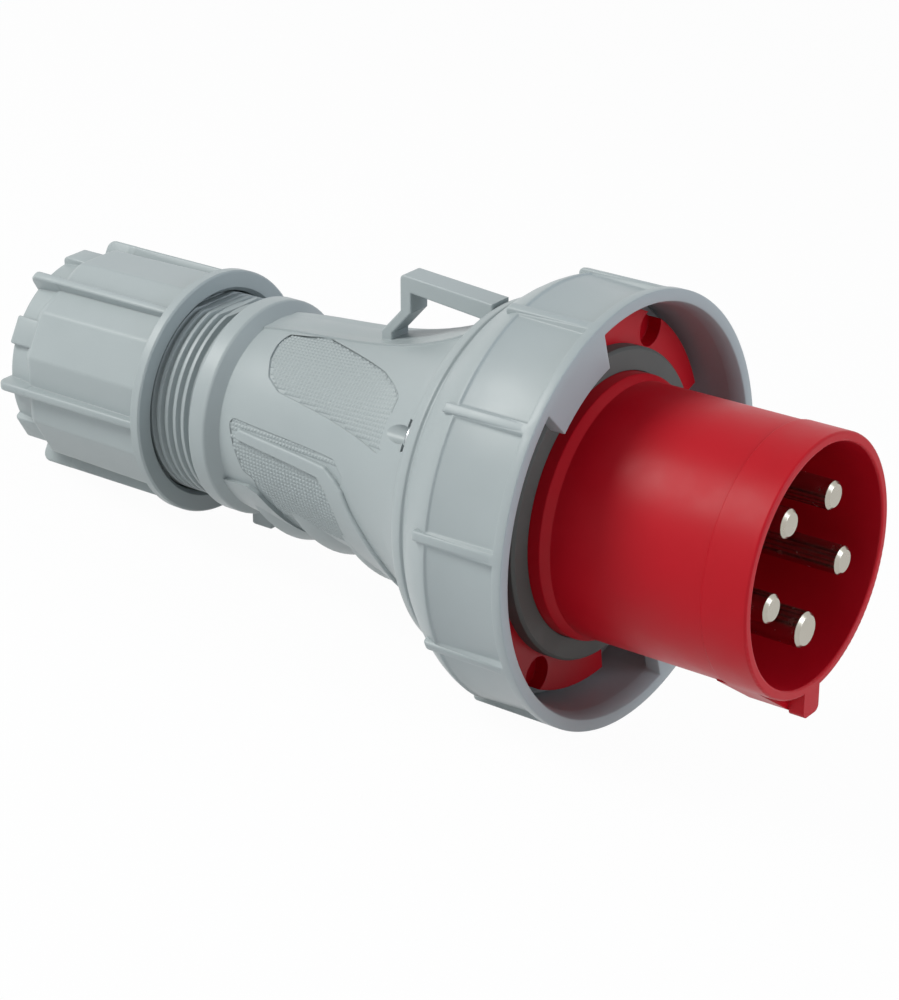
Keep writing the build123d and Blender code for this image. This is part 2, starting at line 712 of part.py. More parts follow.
def locking_ring():
    """The bayonet ring that turns on the housing's flange."""
    body = ring_body()
    for k in range(ring_rib_count):
        body += ring_rib(ring_rib_phase + rib_pitch * k)
    for angle in (lug_angle, lug_angle + 180):
        body += sector(ring_front_station, ring_front_station + lug_thickness, lug_inner_radius,
                       ring_mouth_radius + overlap, angle, lug_half_angle)
    return body


def nut_section(station, size):
    """The nut's hexagon with cut corners, drawn at a station and shrunk by a factor."""
    half_turn = 180 / nut_side_count
    corner_radius = nut_flat_radius / cos(radians(half_turn - nut_corner_half_angle)) * size
    turns = [nut_corner_angle + 2 * half_turn * k + side * nut_corner_half_angle
             for k in range(nut_side_count) for side in (-1, 1)]
    points = [(corner_radius * cos(radians(a)), corner_radius * sin(radians(a))) for a in turns]
    outline = make_face(Polyline(*points, close=True))
    return Pos(-station, 0, 0) * (Plane.YZ * fillet(outline.vertices(), nut_corner_round))


def nut_crown(count, first_angle, foot, top, front, width):
    """Bars round the nut that run from a station to its end."""
    crown = Part()
    for k in range(count):
        bar = Box(nut_end_station - front, top - foot, width, align=(Align.MIN, Align.MAX, Align.CENTER))
        crown += Rot(X=first_angle + 360 / count * k) * Pos(-nut_end_station, top, 0) * bar
    return crown


def nut_outside():
    """Collar, tapered hexagon body, six ribs and the lugs at the rear."""
    collar_back = nut_front_station + nut_collar_length
    collar = turned(
        (nut_front_station, 0), (nut_front_station, nut_collar_radius, nut_edge_round),
        (collar_back, nut_collar_radius, nut_edge_round), (collar_back, 0))
    front = collar_back - overlap / 2
    body = loft([nut_section(front, 1), nut_section(nut_end_station, 1 - nut_taper / nut_flat_radius)])
    half_turn = 180 / nut_side_count
    ribs = nut_crown(nut_side_count, nut_corner_angle + half_turn, nut_flat_radius - nut_rib_sink,
                     nut_rib_radius, front, nut_rib_width)
    trim = turned(
        (nut_front_station, 0), (nut_front_station, 2 * nut_rib_radius), (collar_back, nut_rib_radius),
        (nut_shoulder_station, nut_rib_radius - nut_taper), (nut_end_station, nut_end_radius),
        (nut_end_station, 0))
    lugs = nut_crown(nut_lug_count, nut_corner_angle, nut_notch_inner_radius, nut_lug_radius,
                     nut_end_station - nut_lug_depth, nut_lug_width)
    return collar + ((body + ribs) & trim) + lugs


def gland_nut():
    """The cap nut of the cable gland."""
    wall_front = nut_end_station - nut_end_wall
    inside = turned(
        (nut_front_station - overlap, 0), (nut_front_station - overlap, nut_mouth_radius + nut_mouth_chamfer),
        (nut_front_station + nut_mouth_length, nut_bore_radius), (nut_bore_end_station, nut_bore_radius),
        (wall_front, cage_cone_radius(wall_front) + cage_nut_gap), (wall_front, nut_hole_radius),
        (nut_end_station + overlap, nut_hole_radius), (nut_end_station + overlap, 0))
    notches = nut_crown(nut_lug_count, nut_corner_angle + 180 / nut_lug_count, nut_notch_inner_radius,
                        2 * nut_end_radius, nut_end_station - nut_notch_depth, nut_lug_width)
    return nut_outside() - inside - notches


def cage_cone_radius(station):
    """Radius of the cage fingers' outer cone, which the nut's inner cone follows."""
    drop = tan(radians(cage_cone_angle))
    return cage_collar_radius + cage_cone_step - drop * (station - nut_bore_end_station)


def clamp_cage():
    """The clamping cage: a sleeve in the spigot, a collar and a crown of fingers in the nut's cone."""
    sleeve_outer = spigot_bore_radius - cage_sleeve_gap
    sleeve_front = cage_front_station
    finger_end = nut_end_station - nut_end_wall - cage_end_gap
    collar_back = cage_collar_station + cage_collar_length
    body = turned(
        (sleeve_front, sleeve_outer), (cage_collar_station, sleeve_outer),
        (cage_collar_station, cage_collar_radius), (collar_back, cage_collar_radius),
        (finger_end, cage_cone_radius(finger_end)), (finger_end, cage_inner_radius - cage_inner_taper),
        (collar_back, cage_inner_radius), (sleeve_front, cage_inner_radius))
    for k in range(cage_finger_count):
        slot = Box(finger_end - collar_back + overlap, 2 * cage_collar_radius, cage_finger_gap,
                   align=(Align.MIN, Align.MIN, Align.CENTER))
        body -= Rot(X=360 / cage_finger_count * k) * Pos(-finger_end - overlap, 0, 0) * slot
    return body


def cable_seal():
    """The rubber bush that closes round the cable, in front of the cage."""
    front = cage_front_station - seal_length
    outer = spigot_bore_radius - cage_sleeve_gap
    return turned(
        (front, seal_hole_radius + seal_lead_in), (front, outer - seal_outer_chamfer),
        (front + seal_lead_in, outer),
        (cage_front_station, outer), (cage_front_station, seal_hole_radius + seal_lead_in),
        (cage_front_station - seal_lead_in, seal_hole_radius), (front + seal_lead_in, seal_hole_radius))


def save(name, *shapes):
    """Rolls one sub-part to where it lies and writes it: a single solid or a group of like fasteners."""
    lying = [Rot(X=rest_roll) * shape for shape in shapes]
    part = lying[0] if len(lying) == 1 else Compound(children=lying)
    part.label = name
    export_step(part, "parts/" + name + ".step")
    print(name, "solids", len(part.solids()), "volume", round(part.volume))


pole_names = ("pe", "l1", "l2", "l3", "n")
save("contact_carrier", contact_carrier())
for pole, angle in zip(pole_names, pin_angles):
    save("pin_" + pole, pin(angle))
    save("wire_saddle_" + pole, wire_saddle(angle))
save("terminal_screws", *terminal_screws())
save("terminal_block", terminal_block())
save("block_screw", block_screw())
save("face_gasket", face_gasket())
save("housing_seal", housing_seal())
save("rear_housing", rear_housing())
save("carrier_screws", *carrier_screws())
save("locking_ring", locking_ring())
save("gland_nut", gland_nut())
save("clamp_cage", clamp_cage())
save("cable_seal", cable_seal())
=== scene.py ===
import math

import bmesh
import bpy
from mathutils import Matrix, Vector


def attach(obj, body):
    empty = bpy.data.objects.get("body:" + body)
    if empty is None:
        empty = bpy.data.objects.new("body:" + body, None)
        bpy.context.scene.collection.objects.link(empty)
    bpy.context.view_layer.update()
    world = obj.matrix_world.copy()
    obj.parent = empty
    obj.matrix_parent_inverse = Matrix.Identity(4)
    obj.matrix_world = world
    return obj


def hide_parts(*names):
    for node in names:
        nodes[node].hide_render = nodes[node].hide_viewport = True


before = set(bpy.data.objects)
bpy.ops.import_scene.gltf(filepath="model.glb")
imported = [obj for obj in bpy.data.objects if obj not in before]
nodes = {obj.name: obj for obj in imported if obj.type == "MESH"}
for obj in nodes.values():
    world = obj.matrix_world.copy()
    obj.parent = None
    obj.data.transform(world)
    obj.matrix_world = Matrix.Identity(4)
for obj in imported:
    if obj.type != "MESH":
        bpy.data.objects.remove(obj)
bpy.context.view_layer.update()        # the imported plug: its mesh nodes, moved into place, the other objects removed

mm = 0.001
weld = 0.01 * mm         # points nearer than this are one point
print("frame loaded:", len(nodes), "nodes")


# how the plug lies: rolled about X onto two ribs of its ring, ring and cap nut on the floor
lying = {
    "roll": math.radians(15.382),
    "ringTouch": (-0.0830, -0.0592),      # x and z where the ring's ribs touch
    "nutTouch": (-0.2545, -0.0352),       # x and z where the cap nut touches
}
rollTurn = Matrix.Rotation(lying["roll"], 4, "X")

# camera, from the photograph: the pins point to the lower right and are seen from above
camera = {
    "azimuth": math.radians(36.77),
    "elevation": math.radians(23.94),
    "offset": Vector((0.095067, -0.017236, -0.750827)),   # where the view has the shroud's rim
    "lens": 105.08,
    "sensor": 36.0,
    "clip": (0.01, 20),
}


def placeCamera(values):
    a, e = values["azimuth"], values["elevation"]
    back = Vector((math.sin(a) * math.cos(e), -math.cos(a) * math.cos(e), math.sin(e)))
    right = Vector((math.cos(a), math.sin(a), 0))
    turn = Matrix((right, back.cross(right), back)).transposed().to_4x4()
    data = bpy.data.cameras.new("camera")
    data.lens = values["lens"]
    data.sensor_fit = "VERTICAL"
    data.sensor_height = values["sensor"]
    data.clip_start, data.clip_end = values["clip"]
    view = bpy.data.objects.new("camera", data)
    bpy.context.collection.objects.link(view)
    view.matrix_world = rollTurn @ turn @ Matrix.Translation(-values["offset"])
    bpy.context.scene.camera = view


placeCamera(camera)
print("camera placed")


# helpers for the node trees
def newMaterial(name, values):
    material = bpy.data.materials.new(name)
    material.use_nodes = True
    shader = material.node_tree.nodes["Principled BSDF"]
    for key, value in values.items():
        shader.inputs[key].default_value = (*value, 1) if isinstance(value, tuple) else value
    material.diffuse_color = shader.inputs["Base Color"].default_value
    return material, material.node_tree, shader


def addNode(tree, kind, **settings):
    node = tree.nodes.new(kind)
    for key, value in settings.items():
        if hasattr(node, key):
            setattr(node, key, value)
        else:
            node.inputs[key].default_value = value
    return node


def grain(tree, size, detail=2.0):
    # noise in object coordinates, its grains about this many metres wide
    place = addNode(tree, "ShaderNodeTexCoord")
    noise = addNode(tree, "ShaderNodeTexNoise", Scale=1 / size, Detail=detail)
    tree.links.new(place.outputs["Object"], noise.inputs["Vector"])
    return noise.outputs["Fac"]


def ramp(tree, noise, low, high):
    # most of a noise's values lie between 0.3 and 0.7
    spread = addNode(tree, "ShaderNodeMapRange")
    ends = {"From Min": 0.3, "From Max": 0.7, "To Min": low, "To Max": high}
    for key, value in ends.items():
        spread.inputs[key].default_value = value
    tree.links.new(noise, spread.inputs["Value"])
    return spread.outputs["Result"]


def tint(tree, noise, first, second):
    # sockets 6 and 7 and output 2 are the colours of a Mix node
    mix = addNode(tree, "ShaderNodeMix", data_type="RGBA")
    tree.links.new(noise, mix.inputs["Factor"])
    for socket, colour in ((mix.inputs[6], first), (mix.inputs[7], second)):
        socket.default_value = (*colour, 1)
    return mix.outputs[2]


def bumpOn(tree, shader, height, values):
    # fine surface bump over edges that catch light as if rounded
    rounded = addNode(tree, "ShaderNodeBevel", samples=6)
    rounded.inputs["Radius"].default_value = values["edge"]
    bump = addNode(tree, "ShaderNodeBump")
    bump.inputs["Strength"].default_value = values["strength"]
    bump.inputs["Distance"].default_value = values["depth"]
    tree.links.new(height, bump.inputs["Height"])
    tree.links.new(rounded.outputs["Normal"], bump.inputs["Normal"])
    tree.links.new(bump.outputs["Normal"], shader.inputs["Normal"])


# moulded plastics and rubber: two near colours in soft clouds, and a fine grain
plastics = {
    "greyPolyamide": {
        "colours": ((0.345, 0.388, 0.396), (0.362, 0.406, 0.414)), "rough": (0.36, 0.44),
        "shine": 0.40, "grain": 0.28 * mm, "strength": 0.10, "edge": 0.45 * mm},
    "redPolyamide": {
        "colours": ((0.435, 0.0020, 0.009), (0.475, 0.0027, 0.012)), "rough": (0.38, 0.46),
        "shine": 0.20, "grain": 0.25 * mm, "strength": 0.08, "edge": 0.40 * mm},
    "darkInsert": {
        "colours": ((0.030, 0.031, 0.033), (0.040, 0.041, 0.043)), "rough": (0.45, 0.55),
        "shine": 0.5, "grain": 0.3 * mm, "strength": 0.15, "edge": 0.30 * mm},
    "sealRubber": {
        "colours": ((0.076, 0.080, 0.073), (0.096, 0.100, 0.092)), "rough": (0.55, 0.70),
        "shine": 0.4, "grain": 0.5 * mm, "strength": 0.25, "edge": 0.35 * mm},
}
plasticClouds = {"size": 9 * mm, "detail": 3.0}
plasticDepth = 0.05 * mm


def makePlastic(name, values):
    material, tree, shader = newMaterial(name, {"Base Color": values["colours"][0], "IOR": 1.5,
                                               "Specular IOR Level": values["shine"]})
    cloud = grain(tree, **plasticClouds)
    tree.links.new(tint(tree, cloud, *values["colours"]), shader.inputs["Base Color"])
    tree.links.new(ramp(tree, cloud, *values["rough"]), shader.inputs["Roughness"])
    bumpOn(tree, shader, grain(tree, values["grain"]), {**values, "depth": plasticDepth})
    return material


# turned and stamped metal, its marks running round the axis
metals = {
    "nickelPin": {
        "colours": ((0.40, 0.38, 0.325), (0.46, 0.435, 0.375)), "rough": (0.20, 0.28),
        "marks": 0.16 * mm, "strength": 0.10, "edge": 0.25 * mm},
    "zincSteel": {
        "colours": ((0.60, 0.62, 0.64), (0.70, 0.72, 0.74)), "rough": (0.22, 0.34),
        "marks": 0.20 * mm, "strength": 0.12, "edge": 0.15 * mm},
}
metalClouds = {"size": 3 * mm, "detail": 3.0}
metalDepth = 0.01 * mm
markWaver = 1.5


def makeMetal(name, values):
    material, tree, shader = newMaterial(name, {"Base Color": values["colours"][0],
                                               "Metallic": 1.0})
    cloud = grain(tree, **metalClouds)
    tree.links.new(tint(tree, cloud, *values["colours"]), shader.inputs["Base Color"])
    tree.links.new(ramp(tree, cloud, *values["rough"]), shader.inputs["Roughness"])
    place = addNode(tree, "ShaderNodeTexCoord")
    rings = addNode(tree, "ShaderNodeTexWave", wave_type="BANDS", bands_direction="X")
    rings.inputs["Scale"].default_value = 1 / (values["marks"] * 2 * math.pi)
    rings.inputs["Distortion"].default_value = markWaver
    tree.links.new(place.outputs["Object"], rings.inputs["Vector"])
    bumpOn(tree, shader, rings.outputs["Fac"], {**values, "depth": metalDepth})
    return material


finishes = {name: makePlastic(name, values) for name, values in plastics.items()}
finishes.update({name: makeMetal(name, values) for name, values in metals.items()})

nodeFinish = {
    "contact_carrier": "redPolyamide",
    "face_gasket": "sealRubber",
    "housing_seal": "sealRubber",
    "cable_seal": "sealRubber",
    "terminal_block": "darkInsert",
    "clamp_cage": "darkInsert",
    "rear_housing": "greyPolyamide",
    "locking_ring": "greyPolyamide",
    "gland_nut": "greyPolyamide",
    "carrier_screws": "zincSteel",
    "terminal_screws": "zincSteel",
    "block_screw": "zincSteel",
}
for name, node in nodes.items():
    kind = "zincSteel" if name.startswith("wire_saddle") else "nickelPin"
    for slot in node.material_slots:
        slot.material = finishes[nodeFinish.get(name, kind)]
print("finishes made:", ", ".join(finishes))


# knurled grips: pads of fine pyramids in the housing's recesses
grips = {
    "pitch": 1.25 * mm,
    "height": 0.36 * mm,
    "thickness": 0.30 * mm,
    "readAt": 11.0 * mm,          # height of a plain line along the body's side
    "spare": 0.05,                # radians that the shell goes past the outline at both ends
    "cutReach": 1.1,              # pitches each side of an outline's line that its cut takes in
    "outward": 0.8,               # how straight out a face looks, 1 at most, to get a point
    # share of the height, then smallest and largest area in squares of the pitch
    "points": ((1, 0.7, 9), (0.5, 0.25, 0.7)),
    # outlines seen from the side: station behind the rim and height, in mm
    "upper": {"sunk": 0.44 * mm, "margin": 0.40 * mm,
              "outline": ((170, 28.2), (168.5, 24), (165.5, 20.3), (160, 17.9), (140.4, 16.2),
                          (118.6, 14.2), (116, 15.7), (116.2, 27.8), (121.6, 29), (127, 29.6),
                          (155, 29.9))},
    "lower": {"sunk": 0.10 * mm, "margin": 0.25 * mm,
              "outline": ((175, 3.2), (139.4, 0.4), (136.4, -3), (133.6, -9), (132, -16),
                          (130.5, -21), (160, -21), (162.4, -14.2), (166.5, -8.8), (170.2, -7.1),
                          (173.8, 1.4))},
    "strip": {"sunk": 0.30 * mm, "margin": 0.30 * mm,
              "outline": ((175.7, 3.8), (175.9, 6.6), (174.8, 8), (154.2, 7.4), (134.2, 7),
                          (129.3, 4.6))},
}
outside = -100 * mm              # clear of the body on its near side


def sideRadius(station):
    # the housing's radius at a station, read along a line on its side that has no other feature
    start = rollTurn @ Vector((-station, outside, grips["readAt"]))
    inward = rollTurn.to_3x3() @ Vector((0, 1, 0))
    spot = nodes["rear_housing"].ray_cast(start, inward)[1]
    return math.hypot(spot.y, spot.z)


def pickPieces(pieces):
    bpy.ops.object.select_all(action="DESELECT")
    for piece in pieces:
        piece.select_set(True)
    bpy.context.view_layer.objects.active = pieces[0]


def applyPlace():
    bpy.ops.object.transform_apply(location=True, rotation=True, scale=True)


def onlySelect(mesh, test):
    # all off first, because a face that is switched off takes its corners from its neighbours
    chosen = [face for face in mesh.faces if test(face)]
    for part in (*mesh.faces, *mesh.edges, *mesh.verts):
        part.select_set(False)
    for face in chosen:
        face.select_set(True)


def insideOutline(outline, x, z):
    inside = False
    for (x1, z1), (x2, z2) in zip(outline, outline[1:] + outline[:1]):
        if (z1 > z) != (z2 > z) and x < x1 + (x2 - x1) * (z - z1) / (z2 - z1):
            inside = not inside
    return inside


def insetOutline(points, margin):
    # each corner moves in by the margin from both of its edges, in metres with x along the axis
    points = [Vector((-x * mm, z * mm)) for x, z in points]
    area = sum(a.cross(b) for a, b in zip(points, points[1:] + points[:1]))
    side = 1 if area > 0 else -1
    normals = []
    for a, b in zip(points, points[1:] + points[:1]):
        run = (b - a).normalized()
        normals.append(Vector((-run.y, run.x)) * side)
    before = normals[-1:] + normals[:-1]
    return [tuple(spot + (one + two) * margin / (1 + one.dot(two)))
            for spot, one, two in zip(points, before, normals)]


def gripShell(name, values, outline):
    # a row of points along the body, spun about the axis over the outline's heights
    stations = [-x for x, z in outline]
    heights = [z for x, z in outline]
    low, high = min(stations) - grips["pitch"], max(stations) + grips["pitch"]
    count = int((high - low) / grips["pitch"])
    bpy.ops.object.select_all(action="DESELECT")
    bpy.ops.mesh.primitive_grid_add(x_subdivisions=count, y_subdivisions=1, size=high - low)
    shell = bpy.context.object
    shell.name = name
    bpy.ops.object.mode_set(mode="EDIT")
    bpy.ops.mesh.select_all(action="DESELECT")
    mesh = bmesh.from_edit_mesh(shell.data)
    for vert in mesh.verts:
        vert.select_set(vert.co.y > 0)
    bmesh.update_edit_mesh(shell.data)
    bpy.ops.mesh.delete(type="VERT")
    mesh = bmesh.from_edit_mesh(shell.data)
    radii = [sideRadius(low), sideRadius(high)]
    first = math.asin(min(heights) / max(radii)) - grips["spare"]
    last = math.asin(min(max(heights) / min(radii), 1)) + grips["spare"]
    for vert in mesh.verts:
        station = (low + high) / 2 - vert.co.x
        radius = sideRadius(station) - values["sunk"]
        vert.co = (-station, -radius * math.cos(first), radius * math.sin(first))
        vert.select_set(True)
    mesh.select_flush(True)
    bmesh.update_edit_mesh(shell.data)
    steps = round((last - first) * sum(radii) / 2 / grips["pitch"])
    bpy.ops.mesh.spin(steps=steps, angle=last - first, center=(0, 0, 0), axis=(1, 0, 0))
    bpy.ops.mesh.select_all(action="SELECT")
    bpy.ops.mesh.remove_doubles(threshold=weld)
    return shell


def cutToOutline(shell, outline):
    reach = grips["cutReach"] * grips["pitch"]
    points = [Vector((x, 0, z)) for x, z in outline]
    for start, end in zip(points, points[1:] + points[:1]):
        run = end - start
        mesh = bmesh.from_edit_mesh(shell.data)

        def near(face):
            spot = face.calc_center_median()
            spot.y = 0
            share = max(0, min(1, (spot - start).dot(run) / run.length_squared))
            return (spot - start - run * share).length < reach

        onlySelect(mesh, near)
        bmesh.update_edit_mesh(shell.data)
        bpy.ops.mesh.bisect(plane_co=start, plane_no=run.cross(Vector((0, 1, 0))))

    def beyond(face):
        spot = face.calc_center_median()
        return not insideOutline(outline, spot.x, spot.z)

    onlySelect(bmesh.from_edit_mesh(shell.data), beyond)
    bmesh.update_edit_mesh(shell.data)
    bpy.ops.mesh.delete(type="FACE")


def raisePyramids(shell):
    # a point on each outer face, lower on the small ones that the outline has cut
    whole = grips["pitch"] ** 2
    for share, low, high in grips["points"]:

        def chosen(face):
            spot = face.calc_center_median()
            outward = face.normal.dot(Vector((0, spot.y, spot.z)).normalized())
            rightSize = low * whole < face.calc_area() <= high * whole
            return outward > grips["outward"] and rightSize and len(face.verts) > 3

        onlySelect(bmesh.from_edit_mesh(shell.data), chosen)
        bmesh.update_edit_mesh(shell.data)
        bpy.ops.mesh.poke(offset=grips["height"] * share)


def makeGrip(name, values):
    outline = insetOutline(values["outline"], values["margin"])
    shell = gripShell(name + "Grip", values, outline)
    cutToOutline(shell, outline)
    bpy.ops.mesh.select_all(action="SELECT")
    bpy.ops.mesh.normals_make_consistent(inside=False)
    bpy.ops.object.mode_set(mode="OBJECT")
    wall = shell.modifiers.new("wall", "SOLIDIFY")
    wall.thickness = grips["thickness"]
    wall.offset = -1
    bpy.ops.object.modifier_apply(modifier=wall.name)
    bpy.ops.object.mode_set(mode="EDIT")
    raisePyramids(shell)
    bpy.ops.object.mode_set(mode="OBJECT")
    return shell


def mirrorGrip(shell):
    pickPieces([shell])
    bpy.ops.object.duplicate(linked=False)
    other = bpy.context.object
    other.name = shell.name + "Far"
    other.scale = (1, -1, 1)
    applyPlace()
    bpy.ops.object.mode_set(mode="EDIT")
    bpy.ops.mesh.select_all(action="SELECT")
    bpy.ops.mesh.normals_make_consistent(inside=False)
    bpy.ops.object.mode_set(mode="OBJECT")
    return other


def takePlace(piece, body):
    # turned as the plug lies, then grey like its neighbours and moving with its body
    pickPieces([piece])
    piece.matrix_world = rollTurn
    applyPlace()
    piece.data.materials.append(finishes["greyPolyamide"])
    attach(piece, body)


for name in ("upper", "lower", "strip"):
    nearGrip = makeGrip(name, grips[name])
    farGrip = mirrorGrip(nearGrip)
    takePlace(nearGrip, "plug_body")
    takePlace(farGrip, "plug_body")
    print("grip made:", name, len(nearGrip.data.polygons), "faces")


# bayonet ring: a turned form with a pocket between each two ribs and two lugs inside its mouth
bayonetRing = {
    # stations behind the shroud's rim and radii, in mm: outside first, then the bore
    "outline": ((57, 57.8), (57, 61.19), (60.0, 61.19), (82, 60.5), (84, 59.8), (86.5, 58.6),
                (89, 57.1), (92, 54.9), (94.4, 52.8), (95.2, 51.0), (96.2, 50.7), (96.8, 51.4),
                (99.8, 50.4), (101, 49.4), (101, 46.9), (93.2, 46.9), (93.2, 50.7), (79.7, 56.4),
                (61.6, 56.4), (61, 56.4)),
    "ribs": 11,
    "ribAngle": 172.8,
    "pocketSteps": 22,            # turned steps in a pocket, two more make a rib
    "pocketFrom": 60.0 * mm,
    "pocketTo": 82.0 * mm,
    "pocketOutside": 60.0 * mm,   # what lies outside this radius there is the outer face
    "pocketDepth": 1.9 * mm,
    "pocketDraft": 0.5 * mm,
    "pocketEnd": 59.9 * mm,       # the pocket's floor rises to this radius at the rear
    "lugAngles": (120.2, 300.2),
    "lugHalfAngle": 14.3,
    "lugRadius": 47.4 * mm,
    "lugBack": 61.6 * mm,
    "lugInside": 57.5 * mm,       # what lies inside this radius there is the mouth's inner face
    "edge": 0.45 * mm,
    "edgeSteps": 2,
    "sharp": math.radians(40),
    "smooth": math.radians(32),
    "rib": {"stations": (57.8, 86.2), "radii": (58.0, 61.15), "width": 2.8, "corner": 1.4,
            "edge": 0.6},
}


def turnFrom(name, outline, angle, steps):
    # a closed outline of (station, radius) in mm, set up at an angle and spun all round the axis
    bpy.ops.object.select_all(action="DESELECT")
    bpy.ops.mesh.primitive_circle_add(vertices=len(outline), radius=1)
    turned = bpy.context.object
    turned.name = name
    bpy.ops.object.mode_set(mode="EDIT")
    mesh = bmesh.from_edit_mesh(turned.data)
    for vert, (station, radius) in zip(mesh.verts, outline):
        vert.co = (-station * mm, radius * mm * math.cos(angle), radius * mm * math.sin(angle))
    bmesh.update_edit_mesh(turned.data)
    bpy.ops.mesh.select_all(action="SELECT")
    bpy.ops.mesh.spin(steps=steps, angle=2 * math.pi, center=(0, 0, 0), axis=(1, 0, 0))
    bpy.ops.mesh.select_all(action="SELECT")
    bpy.ops.mesh.remove_doubles(threshold=weld)
    bpy.ops.mesh.normals_make_consistent(inside=False)
    return turned


def angleFrom(spot, angle):
    # how far round the axis a point stands from an angle, in degrees
    return (math.degrees(math.atan2(spot.z, spot.y)) - angle + 180) % 360 - 180


def bevelSharp(limit, size, segments):
    # in edge mode, as in vertex mode the edges between two sharp ones would be taken too
    bpy.ops.mesh.select_mode(type="EDGE")
    bpy.ops.mesh.select_all(action="DESELECT")
    bpy.ops.mesh.edges_select_sharp(sharpness=limit)
    bpy.ops.mesh.bevel(offset=size, segments=segments, clamp_overlap=True)
    bpy.ops.mesh.select_mode(type="VERT")


# what all bars along the axis share, on the ring and on the nut
barEdges = {"sharp": math.radians(40), "cornerSteps": 6, "edgeSteps": 3}


def makeBar(name, values):
    # a bar with its sizes in mm, its rear outer corner rounded more than its other edges
    (front, back), (low, high) = values["stations"], values["radii"]
    bpy.ops.object.select_all(action="DESELECT")
    middle = (-(front + back) / 2 * mm, (low + high) / 2 * mm, 0)
    size = ((back - front) * mm, (high - low) * mm, values["width"] * mm)
    bpy.ops.mesh.primitive_cube_add(size=1, location=middle, scale=size)
    applyPlace()
    part = bpy.context.object
    part.name = name
    bpy.ops.object.mode_set(mode="EDIT")
    mesh = bmesh.from_edit_mesh(part.data)
    bpy.ops.mesh.select_all(action="DESELECT")
    for edge in mesh.edges:
        if all(v.co.x < weld - back * mm and v.co.y > high * mm - weld for v in edge.verts):
            edge.select_set(True)
    bmesh.update_edit_mesh(part.data)
    bpy.ops.mesh.bevel(offset=values["corner"] * mm, segments=barEdges["cornerSteps"])
    bevelSharp(barEdges["sharp"], values["edge"] * mm, barEdges["edgeSteps"])
    bpy.ops.object.mode_set(mode="OBJECT")
    bpy.ops.object.shade_smooth_by_angle(angle=barEdges["sharp"])
    return part


def placeRound(part, first, count):
    # copies evenly round the axis, each with its own mesh, in place of the part itself
    copies = []
    for k in range(count):
        pickPieces([part])
        bpy.ops.object.duplicate(linked=False)
        copy = bpy.context.object
        copy.matrix_world = Matrix.Rotation(math.radians(first + 360 / count * k), 4, "X")
        applyPlace()
        copies.append(copy)
    bpy.data.objects.remove(part)
    return copies


def joinAll(parts, name):
    pickPieces(parts)
    bpy.ops.object.join()
    joined = bpy.context.object
    joined.name = name
    return joined


def makeBayonetRing(values):
    pitch = 360 / values["ribs"]
    steps = values["ribs"] * (values["pocketSteps"] + 2)
    ring = turnFrom("bayonetRing", values["outline"], math.radians(values["ribAngle"]), steps)
    mesh = bmesh.from_edit_mesh(ring.data)

    def inPocket(face):
        spot = face.calc_center_median()
        fromMiddle = abs(angleFrom(spot, values["ribAngle"]) % pitch - pitch / 2)
        offRib = fromMiddle < pitch / 2 - 360 / steps
        onLand = values["pocketFrom"] < -spot.x < values["pocketTo"]
        return offRib and onLand and math.hypot(spot.y, spot.z) > values["pocketOutside"]

    onlySelect(mesh, inPocket)
    bmesh.update_edit_mesh(ring.data)
    bpy.ops.mesh.inset(thickness=values["pocketDraft"], depth=-values["pocketDepth"])
    mesh = bmesh.from_edit_mesh(ring.data)
    for vert in mesh.verts:
        if vert.select and -vert.co.x > values["pocketTo"] - 2 * values["pocketDraft"]:
            grow = values["pocketEnd"] / math.hypot(vert.co.y, vert.co.z)
            vert.co = (vert.co.x, vert.co.y * grow, vert.co.z * grow)

    def onLug(face):
        spot = face.calc_center_median()
        away = min(abs(angleFrom(spot, angle)) for angle in values["lugAngles"])
        inMouth = math.hypot(spot.y, spot.z) < values["lugInside"]
        return away < values["lugHalfAngle"] and -spot.x < values["lugBack"] and inMouth

    onlySelect(mesh, onLug)
    bmesh.update_edit_mesh(ring.data)
    bpy.ops.mesh.extrude_region_move()
    mesh = bmesh.from_edit_mesh(ring.data)
    for vert in mesh.verts:
        if vert.select:
            shrink = values["lugRadius"] / math.hypot(vert.co.y, vert.co.z)
            vert.co = (vert.co.x, vert.co.y * shrink, vert.co.z * shrink)
    bmesh.update_edit_mesh(ring.data)
    bevelSharp(values["sharp"], values["edge"], values["edgeSteps"])
    bpy.ops.mesh.select_all(action="SELECT")
    bpy.ops.mesh.normals_make_consistent(inside=False)
    bpy.ops.object.mode_set(mode="OBJECT")
    bpy.ops.object.shade_smooth_by_angle(angle=values["smooth"])
    takePlace(ring, "bayonet_ring")
    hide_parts("locking_ring")
    return ring


def makeRingRibs(values):
    bars = placeRound(makeBar("rib", values["rib"]), values["ribAngle"], values["ribs"])
    ribs = joinAll(bars, "ringRibs")
    takePlace(ribs, "bayonet_ring")


ring = makeBayonetRing(bayonetRing)
makeRingRibs(bayonetRing)
print("bayonet ring made:", len(ring.data.polygons), "faces")


